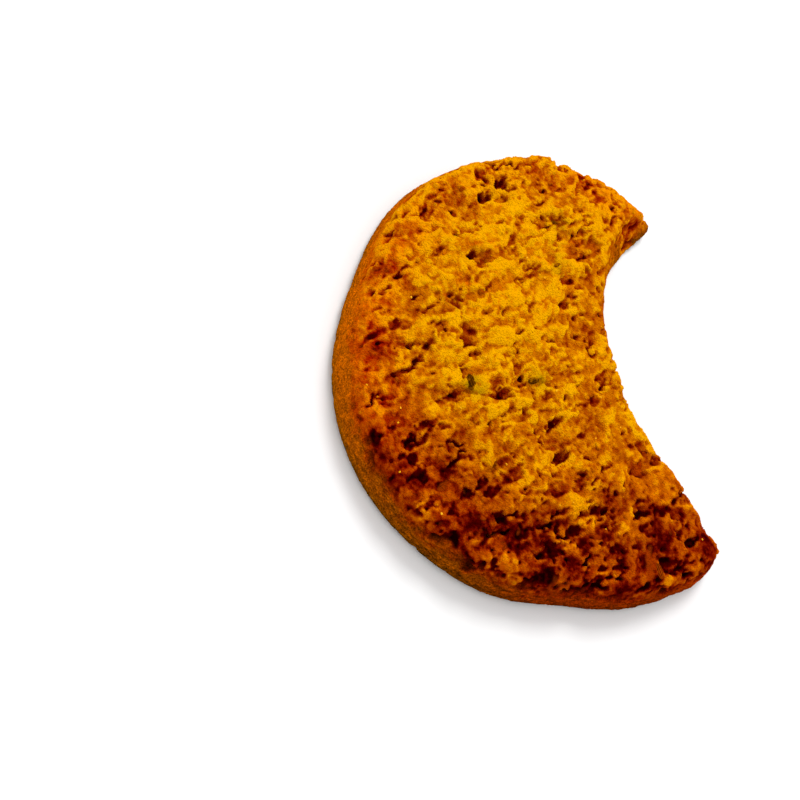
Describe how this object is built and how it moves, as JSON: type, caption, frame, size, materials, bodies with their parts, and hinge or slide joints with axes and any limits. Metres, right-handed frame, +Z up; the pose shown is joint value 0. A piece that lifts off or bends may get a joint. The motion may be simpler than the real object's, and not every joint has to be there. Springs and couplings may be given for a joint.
{
  "type": "anise crescent cookie",
  "caption": "Crescent-shaped baked cookie with a coarse crumbly browned top, a smooth low side wall and a flat underside.",
  "frame": {"origin": "middle of the bounding box at the level of the flat underside", "axes": "+Z up out of the top; +X from the left horn to the right horn; +Y the way the hollow between the horns opens"},
  "size_m": [0.064, 0.0538, 0.0081],
  "materials": {
    "baked_dough": "dry baked dough: golden coarse crumb on top, darker brown in the pits and at the rim and horns, fine ochre-brown side wall"
  },
  "bodies": {
    "root": {"crescent_cookie": "baked_dough"}
  },
  "joints": []
}
